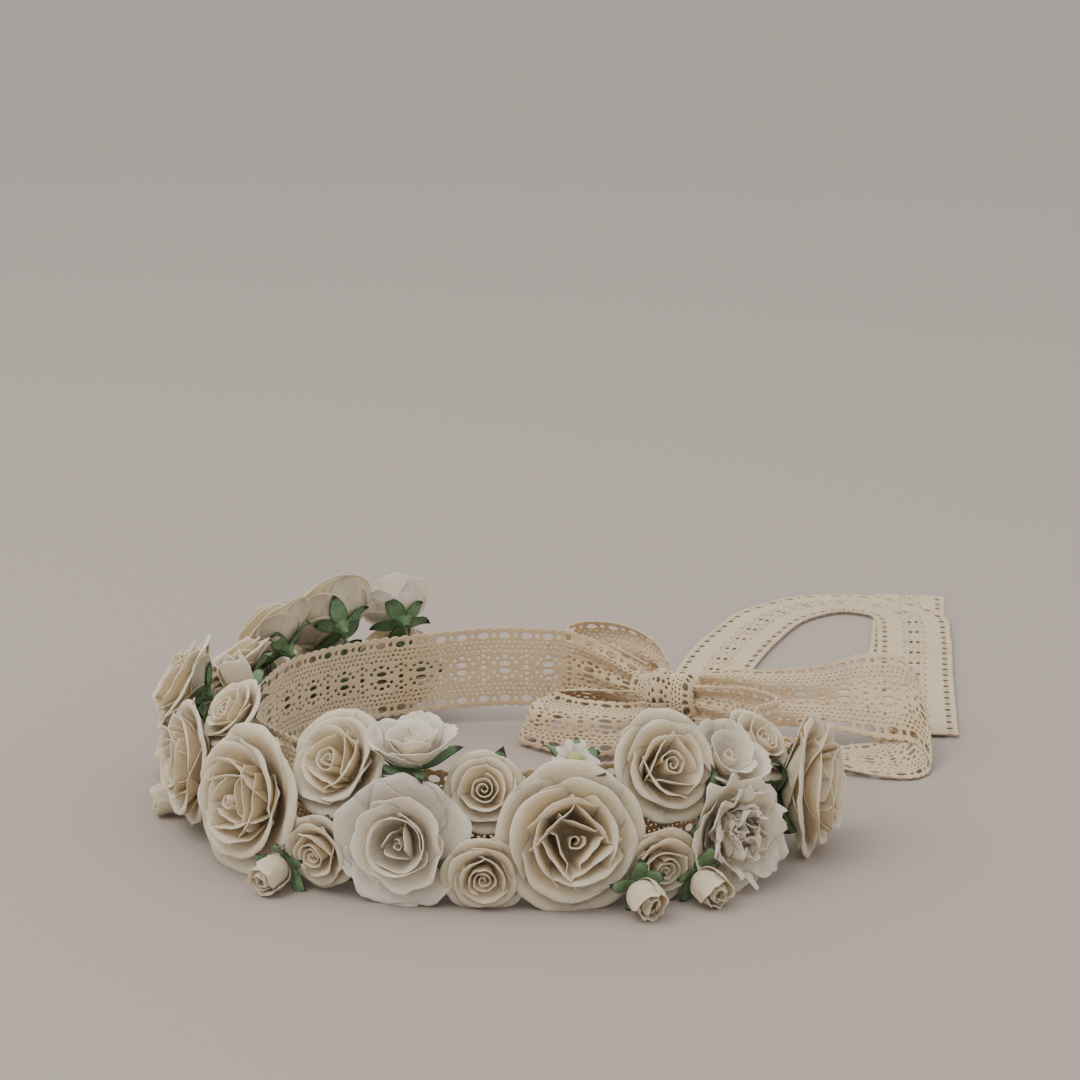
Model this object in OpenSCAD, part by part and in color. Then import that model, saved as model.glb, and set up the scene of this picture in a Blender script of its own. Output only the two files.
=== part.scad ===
// A flower crown: a garland of mulberry-paper roses wired to a hoop, lined with a cotton lace
// ribbon whose two ends are tied in a bow. It lies on a table, with the ribbon tails behind it.
// Millimetres. +Z is up, -Y is the front of the garland, and the bow is behind on the right.

/* [Lace ribbon] */
// Inner radius of the lace band, which is what rests on the head
head_r = 91; // [86:1:96]
// Width of the lace ribbon
lace_w = 32; // [26:1:34]
// Thickness that the lace is given
lace_t = 0.8; // [0.6:0.1:1]
// Height of the band's lower edge over the table
band_z = 7; // [5:1:10]

/* [Hoop] */
// Radius of the hoop's core wire
wire_r = 1; // [0.8:0.1:1.2]
// Outer radius of the tape that is wound round the wire
wrap_r = 2.5; // [2:0.1:2.8]
// Gap between the lace band and the taped hoop
hoop_gap = 1; // [0.6:0.1:2]
// Height of the hoop over the table
hoop_z = 22; // [20:1:24]
// Radius of each flower's own wire stem
stem_r = 0.6; // [0.4:0.1:0.8]

/* [Flowers] */
// Diameter of a large rose
large_d = 42; // [38:1:46]
// Diameter of the ruffled rose
ruffled_d = 39; // [36:1:43]
// Diameter of the crumpled rose
crumpled_d = 34; // [30:1:38]
// Diameter of a medium rose
rose_d = 30; // [28:1:34]
// Diameter of a small rose
small_d = 20; // [18:1:24]
// Diameter of an open flower
open_d = 22; // [20:1:26]
// Diameter of a closed bud
bud_d = 12; // [10:1:13]
// Diameter of the daisy
daisy_d = 15; // [12:1:16]

/* [Bow] */
// Radius of the knot
knot_r = 9; // [8:0.5:10]

/* [Hidden] */
$fn = 48;
gap = 0.3; // kept between pieces that only lie beside each other
hoop_r = head_r + lace_t + hoop_gap + wrap_r;
band_from = 80; // angles on the ring, from +X towards +Y
band_to = 350;
garland_from = 106;
garland_to = 344;
// The ring's centre, placed so that the origin is the middle of the whole object's footprint
ring_at = [-36.2, -83.3, 0];

// Where each flower sits: angle round the ring, height and reach of its face, then how far it
// looks up and how far it turns from straight out, in degrees
LARGE = [
  [281.3, 24.5, 124, 12, -4],
  [222.5, 26, 125, 10, 0],
  [200, 26, 125, 2, 0],
  [332, 23, 130, 2, 14],
];
RUFFLED = [
  [254, 22, 124, 8, 4],
];
CRUMPLED = [
  [309, 20, 130, 6, 0],
];
ROSE = [
  [300.5, 43, 112, 26, -4],
  [238.5, 44.5, 110, 32, -6],
  [182, 47.5, 121, 30, 0],
  [149, 51, 109, 38, 0],
  [131, 51, 111, 28, 0],
  [177, 18, 122, 0, 0],
  [161, 19, 121, 2, 0],
  [145, 17, 122, 0, 0],
  [129, 19, 121, 2, 0],
  [113, 18, 121, 4, 0],
];
SMALL = [
  [267, 38, 108, 26, 0],
  [267.4, 10.8, 121, -8, 0],
  [239, 13, 121, -8, 0],
  [295.6, 11, 125, -8, 0],
  [326, 41, 108.5, 44, 0],
  [169, 50, 102, 55, 0],
  [207, 48.5, 108, 42, 0],
];
OPEN = [
  [253, 53, 101, 80, 0],
  [314, 41.5, 110.5, 46, 0],
  [114, 48, 110, 32, 0],
];
BUD = [
  [233.4, 7, 125.5, -12, 0],
  [290.7, 7, 131, -12, 0],
  [301, 6.8, 130.5, -12, 0],
  [190.5, 7, 119, -12, 0],
  [168.8, 7, 124, -12, 0],
  [193, 51, 96, 66, 0],
];
DAISY = [
  [283.8, 50.5, 104.5, 60, 0],
];

// One name for each flower, such as large_rose_1
function numbered(name, list) = [for (i = [1:len(list)]) str(name, "_", i)];

// How deep a flower's head is, from its base to its face, for its diameter
function depth(d) = d * 0.44;
// The calyx under the head: its radius and its height
function calyx_r(d) = 1.6 + d * 0.05;
function calyx_h(d) = 2 + d * 0.07;

// Geometry of a flower's seat
function out(angle) = [cos(angle), sin(angle), 0];
function looks(f) = cos(f[3]) * out(f[0] + f[4]) + [0, 0, sin(f[3])];
function face(f) = f[2] * out(f[0]) + [0, 0, f[1]];
function base(f, d) = face(f) - depth(d) * looks(f);
function hoop_point(angle) = hoop_r * out(angle) + [0, 0, hoop_z];

module on_ring() {
  translate(ring_at)
    children();
}

// Stands its children, made along +Z, at the flower's base, looking the way the flower looks
module at_flower(f, d) {
  on_ring()
    translate(base(f, d))
      rotate([0, 90 - f[3], f[0] + f[4]])
        children();
}

// A straight round wire from a to b
module wire(a, b, r) {
  v = b - a;
  translate(a)
    rotate([0, acos(v[2] / norm(v)), atan2(v[1], v[0])])
      cylinder(h = norm(v), r = r, $fn = 16);
}

// --- Hoop ---

module hoop_arc() {
  on_ring()
    translate([0, 0, hoop_z])
      rotate([0, 0, garland_from])
        rotate_extrude(angle = garland_to - garland_from, $fn = 96)
          translate([hoop_r, 0])
            children();
}

module core_wire() {
  color("darkseagreen")
    hoop_arc()
      circle(r = wire_r, $fn = 16);
}

module stem_tape() {
  color("olivedrab")
    hoop_arc()
      difference() {
        circle(r = wrap_r, $fn = 24);
        circle(r = wire_r + 0.05, $fn = 16);
      }
}

// A stem runs from the tape to just under the calyx
module stem(f, d) {
  foot = base(f, d) - (calyx_h(d) + gap + 1.5 * stem_r) * looks(f);
  hoop = hoop_point(f[0]);
  way = (foot - hoop) / norm(foot - hoop);
  on_ring()
    wire(hoop + (wrap_r + 2 * stem_r) * way, foot, stem_r);
}

module flower_stems() {
  color("olivedrab") {
    for (f = LARGE) stem(f, large_d);
    for (f = RUFFLED) stem(f, ruffled_d);
    for (f = CRUMPLED) stem(f, crumpled_d);
    for (f = ROSE) stem(f, rose_d);
    for (f = SMALL) stem(f, small_d);
    for (f = OPEN) stem(f, open_d);
    for (f = BUD) stem(f, bud_d);
    for (f = DAISY) stem(f, daisy_d);
  }
}

// --- Flowers ---

// Half of a bowl's section: a quarter ellipse that starts flat at the foot and ends upright
function bowl(foot, r, low, high) =
  [for (a = [0:10:90]) [foot + (r - foot) * sin(a), low + (high - low) * (1 - cos(a))]];
function backwards(list) = [for (i = [len(list) - 1:-1:0]) list[i]];

// An outline with round lobes, one for each petal of a whorl
module lobed(d, lobes) {
  lobe_r = d * (lobes > 6 ? 0.2 : 0.27);
  for (i = [1:lobes])
    rotate(i * 360 / lobes)
      translate([d / 2 - lobe_r, 0])
        circle(r = lobe_r);
  circle(r = d / 2 - lobe_r);
}

// One whorl of petals: a bowl with a lobed rim
module whorl(d, low, high, lobes, turn = 0) {
  wall = 1.2;
  intersection() {
    rotate_extrude()
      polygon(concat(
        [[0, low]], bowl(d * 0.08, d / 2, low, high),
        backwards(bowl(d * 0.06, d / 2 - wall, low + wall, high)), [[0, low + wall]]
      ));
    rotate(turn)
      linear_extrude(high + 1)
        lobed(d, lobes);
  }
}

// The rolled petals in the middle, as one pointed solid
module heart(d, low, high) {
  waist = low + (high - low) * 0.6;
  rotate_extrude()
    polygon(concat(
      [[0, low]], bowl(d * 0.1, d / 2, low, waist),
      [[d * 0.34, high - d * 0.06], [d * 0.18, high], [0, high - d * 0.08]]
    ));
}

// A rose's head: two whorls, one inside the other, round the heart
module rose_head(d, lobes) {
  h = depth(d);
  whorl(d, 0, h * 0.72, lobes);
  whorl(d * 0.68, 1.5, h * 0.9, lobes, 180 / lobes);
  heart(d * 0.44, 3, h);
}

module large_rose(i) {
  color("ivory")
    at_flower(LARGE[i], large_d)
      rose_head(large_d, 5);
}

module ruffled_rose(i) {
  color("whitesmoke")
    at_flower(RUFFLED[i], ruffled_d)
      rose_head(ruffled_d, 7);
}

module crumpled_rose(i) {
  color("whitesmoke")
    at_flower(CRUMPLED[i], crumpled_d)
      rose_head(crumpled_d, 7);
}

module rose(i) {
  color("ivory")
    at_flower(ROSE[i], rose_d)
      rose_head(rose_d, 5);
}

module small_rose(i) {
  color("linen")
    at_flower(SMALL[i], small_d)
      rose_head(small_d, 5);
}

module open_flower(i) {
  color("whitesmoke")
    at_flower(OPEN[i], open_d) {
      whorl(open_d, 0, depth(open_d) * 0.8, 6);
      heart(open_d * 0.3, 1.5, depth(open_d) * 0.7);
    }
}

module rosebud(i) {
  color("linen")
    at_flower(BUD[i], bud_d)
      heart(bud_d, 0, bud_d * 0.9);
}

module daisy(i) {
  color("whitesmoke")
    at_flower(DAISY[i], daisy_d) {
      linear_extrude(1.2)
        lobed(daisy_d, 8);
      translate([0, 0, 1.5])
        cylinder(h = 1.5, r = daisy_d * 0.16);
    }
}

// The green cup under a head, with five pointed sepals spread against the petals
module calyx(f, d) {
  sepal = d * 0.18 + 2;
  leaf = 0.5;
  at_flower(f, d)
    translate([0, 0, -gap]) {
      translate([0, 0, -calyx_h(d)])
        cylinder(h = calyx_h(d), r1 = stem_r + 0.4, r2 = calyx_r(d), $fn = 24);
      translate([0, 0, -leaf])
        linear_extrude(leaf)
          for (i = [1:5])
            rotate(i * 72)
              translate([sepal / 2, 0])
                intersection() {
                  translate([0, -sepal * 0.42])
                    circle(r = sepal * 0.66);
                  translate([0, sepal * 0.42])
                    circle(r = sepal * 0.66);
                }
    }
}

module calyxes(list, d) {
  color("seagreen")
    for (f = list)
      calyx(f, d);
}

// --- Lace ribbon ---

module lace_band() {
  color("wheat")
    on_ring()
      translate([0, 0, band_z])
        rotate([0, 0, band_from])
          rotate_extrude(angle = band_to - band_from, $fn = 120)
            translate([head_r, 0])
              square([lace_t, lace_w]);
}

// The point at t, from 0 to len(p) - 1, on a smooth curve through the points of p
function through(p, t) =
  let (
    n = len(p) - 1, i = min(floor(t), n - 1), u = t - i,
    a = p[max(i - 1, 0)], b = p[i], c = p[i + 1], d = p[min(i + 2, n)]
  )
  b + (c - a) * u / 2 + (2 * a - 5 * b + 4 * c - d) * u * u / 2
    + (3 * b - a - 3 * c + d) * u * u * u / 2;

// A strip of ribbon: its middle line runs through the first vector of each station, and the
// second is from the middle line to its edge
module ribbon(stations, steps = 4) {
  n = (len(stations) - 1) * steps;
  middle = [for (k = [0:n]) through([for (s = stations) s[0]], k / steps)];
  half = [for (k = [0:n]) through([for (s = stations) s[1]], k / steps)];
  way = [for (k = [0:n]) middle[min(k + 1, n)] - middle[max(k - 1, 0)]];
  up = [for (k = [0:n]) let (v = cross(way[k], half[k])) v / norm(v) * lace_t / 2];
  points = [for (k = [0:n]) each [
    middle[k] - half[k] - up[k], middle[k] + half[k] - up[k],
    middle[k] + half[k] + up[k], middle[k] - half[k] + up[k]
  ]];
  sides = [for (k = [0:n - 1], s = [0:3])
    let (a = 4 * k + s, b = a + 4, d = 4 * k + (s + 1) % 4, c = d + 4)
    each s == 2 ? [[a, b, d], [b, c, d]] : [[a, b, c], [a, c, d]]];
  ends = [[0, 1, 2, 3], [4 * n + 3, 4 * n + 2, 4 * n + 1, 4 * n]];
  color("wheat")
    on_ring()
      polyhedron(points, concat(sides, ends));
}

// A strip of ribbon that lies flat, from height low, through stations of [x, y, half width]
module flat_ribbon(stations, low, steps = 4) {
  n = (len(stations) - 1) * steps;
  line = [for (k = [0:n]) through(stations, k / steps)];
  way = [for (k = [0:n]) line[min(k + 1, n)] - line[max(k - 1, 0)]];
  side = [for (w = way) [-w[1], w[0]] / norm([w[0], w[1]])];
  left = [for (k = [0:n]) [line[k][0], line[k][1]] + line[k][2] * side[k]];
  right = [for (k = [0:n]) [line[k][0], line[k][1]] - line[k][2] * side[k]];
  color("wheat")
    on_ring()
      translate([0, 0, low])
        linear_extrude(lace_t)
          polygon(concat(left, backwards(right)));
}

half_w = lace_w / 2;
knot_at = [62, 66, 18];
knot_turn = 137; // the way the ribbon runs through the knot

module bow_knot() {
  half_length = knot_r * 1.15;
  color("wheat")
    on_ring()
      translate(knot_at)
        rotate([0, 90, knot_turn])
          rotate_extrude()
            polygon([for (a = [-90:10:90]) [knot_r * cos(a), half_length * sin(a)]]);
}

module left_tie() {
  ribbon([
    [band_middle(band_from - 0.4), [0, 0, half_w]],
    [[26, 87, 23], [0, 1, half_w * 0.94]],
    [[38, 82, 21], [1, 2, half_w * 0.75]],
    [[48, 76, 19], [2, 2, half_w * 0.5]],
    [[56, 71, 18], [2, 2, half_w * 0.34]],
  ]);
}

function band_middle(angle) =
  (head_r + lace_t / 2) * out(angle) + [0, 0, band_z + half_w];

module right_tie() {
  ribbon([
    [band_middle(band_to + 0.4), [0, 0, half_w]],
    [[97, 2, 21], [0, 0, half_w * 0.9]],
    [[99, 20, 19], [0, 0, half_w * 0.85]],
    [[91, 40, 18], [0, 0, half_w * 0.75]],
    [[79, 54, 18], [0, 1, half_w * 0.5]],
    [[69, 61, 18], [1, 2, half_w * 0.34]],
  ]);
}

module left_loop() {
  ribbon([
    [[53, 52, 13], [0, 1, 6]],
    [[42, 46, 11], [0, 3, 9]],
    [[28, 48, 10.5], [0, 4, 9.5]],
    [[17, 56, 10.5], [2, 3, 9.5]],
    [[12, 65, 12], [4, 0, 9.5]],
    [[22, 71, 14], [1, -3, 8.5]],
    [[38, 71, 16], [0, -2, 7.5]],
    [[49, 68, 17], [0, -1, 5.5]],
  ]);
}

module back_loop() {
  ribbon([
    [[62, 80, 22], [0, 0, 6]],
    [[58, 91, 24], [0, 0, 9]],
    [[47, 102, 25], [0, 0, 12]],
    [[33, 107, 25], [0, 0, 13]],
    [[23, 103, 24], [0, 0, 13]],
    [[25, 96, 23], [0, 0, 12]],
    [[40, 91, 22], [0, 0, 10]],
    [[54, 81, 21], [0, 0, 6]],
  ]);
}

module right_loop() {
  ribbon([
    [[76, 65, 9], [-1, -3, 3]],
    [[92, 58, 7], [-2, -6, 3]],
    [[112, 47, 5], [-3, -11, 1]],
    [[130, 37, 3], [-1, -15, -1]],
    [[147, 36, 4], [2, -19, -2.5]],
    [[158, 47, 12], [0, -20, -10]],
    [[153, 58, 19], [1, -17, -12.5]],
    [[138, 63, 19.5], [1, -13, -13]],
    [[121, 62, 19.5], [0, -7, -11]],
    [[102, 61, 20], [-1, -5, -9.5]],
    [[84, 67, 21], [-1, -4, -7]],
    [[74, 71, 21], [-1, -3, -5]],
  ]);
}

module long_tail() {
  flat_ribbon([
    [74, 79, 7],
    [76, 100, 10],
    [81, 140, 14.5],
    [91, 183, half_w],
    [104, 222, half_w],
    [118, 253, half_w],
    [140, 273, half_w],
    [164, 271, half_w],
    [178, 251, half_w],
    [176, 214, half_w],
    [168, 150, half_w],
    [159, 72, half_w],
  ], lace_t + 0.2);
}

module short_tail() {
  flat_ribbon([
    [80, 79, 6],
    [94, 92, 9],
    [118, 106, 13],
    [144, 126, half_w],
    [161, 158, half_w],
    [171, 200, half_w],
    [184, 293, half_w],
  ], 0);
}

core_wire();
stem_tape();
flower_stems();
lace_band();
left_tie();
right_tie();
bow_knot();
left_loop();
back_loop();
right_loop();
long_tail();
short_tail();
calyxes(LARGE, large_d);  // large_calyxes
calyxes(RUFFLED, ruffled_d);  // ruffled_calyx
calyxes(CRUMPLED, crumpled_d);  // crumpled_calyx
calyxes(ROSE, rose_d);  // rose_calyxes
calyxes(SMALL, small_d);  // small_calyxes
calyxes(OPEN, open_d);  // open_calyxes
calyxes(BUD, bud_d);  // bud_calyxes
calyxes(DAISY, daisy_d);  // daisy_calyx
for (i = [1:len(LARGE)])
  large_rose(i - 1);
for (i = [1:len(RUFFLED)])
  ruffled_rose(i - 1);
for (i = [1:len(CRUMPLED)])
  crumpled_rose(i - 1);
for (i = [1:len(ROSE)])
  rose(i - 1);
for (i = [1:len(SMALL)])
  small_rose(i - 1);
for (i = [1:len(OPEN)])
  open_flower(i - 1);
for (i = [1:len(BUD)])
  rosebud(i - 1);
for (i = [1:len(DAISY)])
  daisy(i - 1);
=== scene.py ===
"""A flower crown: mulberry-paper roses wired round a hoop, with a cotton lace ribbon tied in a bow."""
import math

import bpy
import numpy as np
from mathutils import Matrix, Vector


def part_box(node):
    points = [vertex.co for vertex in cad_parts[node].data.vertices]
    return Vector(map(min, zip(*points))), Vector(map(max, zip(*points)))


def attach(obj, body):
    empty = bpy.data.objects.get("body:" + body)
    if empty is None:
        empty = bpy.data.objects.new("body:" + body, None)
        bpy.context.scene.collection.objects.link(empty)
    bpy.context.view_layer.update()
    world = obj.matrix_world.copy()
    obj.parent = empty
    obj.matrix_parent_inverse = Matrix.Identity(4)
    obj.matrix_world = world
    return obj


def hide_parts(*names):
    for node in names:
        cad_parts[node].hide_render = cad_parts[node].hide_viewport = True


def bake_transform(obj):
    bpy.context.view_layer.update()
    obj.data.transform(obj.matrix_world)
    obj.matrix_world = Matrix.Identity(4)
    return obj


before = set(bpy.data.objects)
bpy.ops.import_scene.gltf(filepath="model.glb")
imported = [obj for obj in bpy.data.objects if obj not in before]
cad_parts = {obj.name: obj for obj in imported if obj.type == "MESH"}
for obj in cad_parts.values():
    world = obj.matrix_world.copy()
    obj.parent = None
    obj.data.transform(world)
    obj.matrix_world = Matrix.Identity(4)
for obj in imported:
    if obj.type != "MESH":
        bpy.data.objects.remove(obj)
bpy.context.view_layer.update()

MM = 0.001
CROWN = "crown"


# --- The ring that everything is planted on ---

BAND_OUTER = 91.8  # mm, the lace band's outer radius
BAND_MIDDLE = 91.4
BAND_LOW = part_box("lace_band")[0][2] / MM  # the band's lower edge over the table, mm
HALF_W = 16.0  # mm, half of the ribbon's width
# The band passes the ring's leftmost and front points, so its box gives the ring's centre
RING = np.array([
    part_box("lace_band")[0][0] / MM + BAND_OUTER,
    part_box("lace_band")[0][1] / MM + BAND_OUTER,
    0.0,
])


# --- Camera ---

camera = bpy.data.objects.new("camera", bpy.data.cameras.new("camera"))
bpy.context.scene.collection.objects.link(camera)
camera.data.sensor_width = 36
camera.data.lens = 95
camera.location = (RING + [12.7, -987.4, 326.5]) * MM
camera.rotation_euler = (math.radians(90 - 13.17), 0, 0)
camera.data.clip_end = 50
bpy.context.scene.camera = camera


# --- Meshes ---

class Shape:
    """Points, quads and point values, gathered for one mesh. Lengths are in millimetres."""

    def __init__(self):
        self.points, self.quads, self.values, self.count = [], [], {}, 0

    def add(self, points, quads, **values):
        points = np.asarray(points, float).reshape(-1, 3)
        self.points.append(points)
        self.quads.append(np.asarray(quads, int).reshape(-1, 4) + self.count)
        for key, value in values.items():
            self.values.setdefault(key, []).append(
                np.broadcast_to(np.asarray(value, float).ravel(), len(points))
            )
        self.count += len(points)

    def merge(self, other, turn, at):
        """Takes another shape in, turned by the 3 x 3 matrix and moved."""
        moved = np.concatenate(other.points) @ turn.T + at
        self.add(moved, np.concatenate(other.quads),
                 **{k: np.concatenate(v) for k, v in other.values.items()})

    def piece(self, name, material):
        points = np.concatenate(self.points)
        quads = np.concatenate(self.quads)
        points[:, 2] = np.maximum(points[:, 2], 0.05)  # the table stops what would sink into it
        mesh = bpy.data.meshes.new(name)
        mesh.vertices.add(len(points))
        mesh.vertices.foreach_set("co", (points * MM).ravel())
        mesh.loops.add(quads.size)
        mesh.loops.foreach_set("vertex_index", quads.ravel())
        mesh.polygons.add(len(quads))
        mesh.polygons.foreach_set("loop_start", np.arange(0, quads.size, 4))
        mesh.polygons.foreach_set("use_smooth", np.ones(len(quads), bool))
        mesh.update(calc_edges=True)
        for key, parts in self.values.items():
            layer = mesh.attributes.new(key, "FLOAT", "POINT")
            layer.data.foreach_set("value", np.concatenate(parts))
        mesh.materials.append(material)
        obj = bpy.data.objects.new(name, mesh)
        bpy.context.scene.collection.objects.link(obj)
        return obj


def thin_solid(grid, thick):
    """A closed solid of even thickness round a grid of points, as points and quads."""
    a, b = grid.shape[:2]
    normal = np.cross(np.gradient(grid, axis=0), np.gradient(grid, axis=1))
    normal /= np.linalg.norm(normal, axis=2, keepdims=True) + 1e-9
    index = np.arange(a * b).reshape(a, b)
    top = np.stack([index[:-1, :-1], index[1:, :-1], index[1:, 1:], index[:-1, 1:]], -1).reshape(-1, 4)
    rim = np.concatenate([index[0, :-1], index[:-1, -1], index[-1, :0:-1], index[:0:-1, 0]])
    after = np.roll(rim, -1)
    wall = np.stack([rim, after, after + a * b, rim + a * b], -1)
    points = np.concatenate([
        (grid + normal * thick / 2).reshape(-1, 3),
        (grid - normal * thick / 2).reshape(-1, 3),
    ])
    return points, np.concatenate([top, top[:, ::-1] + a * b, wall])


def wobble(rng, points, size, waves=6):
    """Smooth seeded noise at the points, from about -1 to 1, with features of the size given."""
    total = np.zeros(points.shape[:-1])
    for _ in range(waves):
        way = rng.normal(size=3)
        way *= 2 * math.pi / size * rng.uniform(0.7, 1.4) / np.linalg.norm(way)
        total += np.sin(points @ way + rng.uniform(0, 2 * math.pi))
    return total / math.sqrt(waves)


def smooth(low, high, value):
    part = np.clip((value - low) / (high - low), 0, 1)
    return part * part * (3 - 2 * part)


# --- Materials ---

def new_material(name):
    material = bpy.data.materials.new(name)
    material.use_nodes = True
    tree = material.node_tree
    return material, tree, tree.nodes["Principled BSDF"]


def attribute(tree, name):
    node = tree.nodes.new("ShaderNodeAttribute")
    node.attribute_name = name
    return node.outputs["Fac"]


def noise(tree, scale, detail=4.0, rough=0.6, vector=None):
    node = tree.nodes.new("ShaderNodeTexNoise")
    node.inputs["Scale"].default_value = scale
    node.inputs["Detail"].default_value = detail
    node.inputs["Roughness"].default_value = rough
    if vector is None:
        vector = tree.nodes.new("ShaderNodeTexCoord").outputs["Object"]
    tree.links.new(vector, node.inputs["Vector"])
    return node.outputs["Fac"]


def ramp(tree, value, stops):
    """A colour ramp; stops are (position, (r, g, b))."""
    node = tree.nodes.new("ShaderNodeValToRGB")
    points = node.color_ramp.elements
    while len(points) < len(stops):
        points.new(0.5)
    for point, (position, colour) in zip(points, stops):
        point.position = position
        point.color = (*colour, 1)
    tree.links.new(value, node.inputs["Fac"])
    return node.outputs["Color"]


def mixed(tree, factor, a, b, mode="MIX"):
    node = tree.nodes.new("ShaderNodeMix")
    node.data_type, node.blend_type = "RGBA", mode
    for socket, value in ((node.inputs[0], factor), (node.inputs[6], a), (node.inputs[7], b)):
        if isinstance(value, (int, float)):
            socket.default_value = value
        elif isinstance(value, tuple):
            socket.default_value = (*value, 1)
        else:
            tree.links.new(value, socket)
    return node.outputs[2]


def math_node(tree, operation, a, b=0.0):
    node = tree.nodes.new("ShaderNodeMath")
    node.operation = operation
    for socket, value in zip(node.inputs, (a, b)):
        if isinstance(value, (int, float)):
            socket.default_value = value
        else:
            tree.links.new(value, socket)
    return node.outputs[0]


def bumped(tree, shader, height, distance, strength=1.0, under=None):
    node = tree.nodes.new("ShaderNodeBump")
    node.inputs["Distance"].default_value = distance
    node.inputs["Strength"].default_value = strength
    tree.links.new(height, node.inputs["Height"])
    if under is not None:
        tree.links.new(under, node.inputs["Normal"])
    tree.links.new(node.outputs["Normal"], shader.inputs["Normal"])
    return node.outputs["Normal"]


def paper(name, rim, body, deep_tan_and_shade):
    """Crumpled mulberry paper with fibres and creases: paler at the rims, which is a painted highlight, and
    deeper in the folds and at the petal bases, which is partly the paper's own tan and partly painted shade.
    """
    material, tree, shader = new_material(name)
    # painted shade: the ramp runs from the rim colour, a painted highlight, to the darkest colour, tan with
    # painted shade
    tone = ramp(tree, attribute(tree, "shade"), [(0.0, rim), (0.35, body), (1.0, deep_tan_and_shade)])
    blotch = ramp(tree, noise(tree, 90, 3), [(0.3, (0.86, 0.85, 0.82)), (0.7, (1, 1, 1))])
    tone = mixed(tree, 1.0, tone, blotch, "MULTIPLY")
    fibre = ramp(tree, noise(tree, 1400, 6, 0.7), [(0.35, (0.9, 0.89, 0.87)), (0.65, (1, 1, 1))])
    tree.links.new(mixed(tree, 0.6, tone, fibre, "MULTIPLY"), shader.inputs["Base Color"])
    rough = ramp(tree, noise(tree, 300, 3), [(0.2, (0.62, 0.62, 0.62)), (0.8, (0.86, 0.86, 0.86))])
    tree.links.new(rough, shader.inputs["Roughness"])
    shader.inputs["Specular IOR Level"].default_value = 0.3
    shader.inputs["Subsurface Weight"].default_value = 0.45
    shader.inputs["Subsurface Radius"].default_value = (0.9, 0.75, 0.55)
    shader.inputs["Subsurface Scale"].default_value = 0.002
    crease = bumped(tree, shader, noise(tree, 260, 5, 0.65), 0.0006, 0.8)
    bumped(tree, shader, noise(tree, 2600, 4, 0.7), 0.00012, 0.7, crease)
    return material


# the last colour of each paper is tan with painted shade, the first a painted highlight at the rims
CREAM = paper("cream_paper", (0.83, 0.715, 0.55), (0.77, 0.65, 0.485), (0.70, 0.585, 0.41))
WHITE = paper("white_paper", (0.86, 0.77, 0.655), (0.81, 0.715, 0.59), (0.71, 0.60, 0.46))


def leaf_material():
    material, tree, shader = new_material("green_paper")
    mottled = ramp(tree, noise(tree, 500, 4), [(0.3, (0.085, 0.17, 0.075)), (0.7, (0.18, 0.30, 0.15))])
    edge = math_node(tree, "ADD", attribute(tree, "shade"),
                     math_node(tree, "MULTIPLY", noise(tree, 900, 3), 0.3))
    dark = ramp(tree, edge, [(0.55, (0, 0, 0)), (0.9, (1, 1, 1))])
    tree.links.new(mixed(tree, dark, mottled, (0.018, 0.026, 0.016)), shader.inputs["Base Color"])
    shader.inputs["Roughness"].default_value = 0.6
    bumped(tree, shader, noise(tree, 900, 5), 0.0003, 0.7)
    return material


LEAF = leaf_material()


def tape_material():
    material, tree, shader = new_material("stem_tape")
    crepe = noise(tree, 1100, 5, 0.7)
    tree.links.new(ramp(tree, crepe, [(0.3, (0.06, 0.10, 0.04)), (0.7, (0.15, 0.21, 0.09))]),
                   shader.inputs["Base Color"])
    shader.inputs["Roughness"].default_value = 0.55
    bumped(tree, shader, crepe, 0.0002, 0.8)
    return material


TAPE = tape_material()


def wire_material():
    material, tree, shader = new_material("hoop_wire")
    worn = noise(tree, 700, 3)
    tree.links.new(ramp(tree, worn, [(0.4, (0.05, 0.09, 0.04)), (0.7, (0.09, 0.14, 0.07))]),
                   shader.inputs["Base Color"])
    shader.inputs["Roughness"].default_value = 0.35
    bumped(tree, shader, worn, 0.0001, 0.4)
    return material


WIRE = wire_material()


def yolk_material():
    material, tree, shader = new_material("daisy_middle")
    tree.links.new(ramp(tree, noise(tree, 1500, 4), [(0.35, (0.38, 0.42, 0.10)), (0.65, (0.62, 0.62, 0.22))]),
                   shader.inputs["Base Color"])
    shader.inputs["Roughness"].default_value = 0.8
    bumped(tree, shader, noise(tree, 1800, 3), 0.0004, 1.0)
    return material


YOLK = yolk_material()


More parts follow.
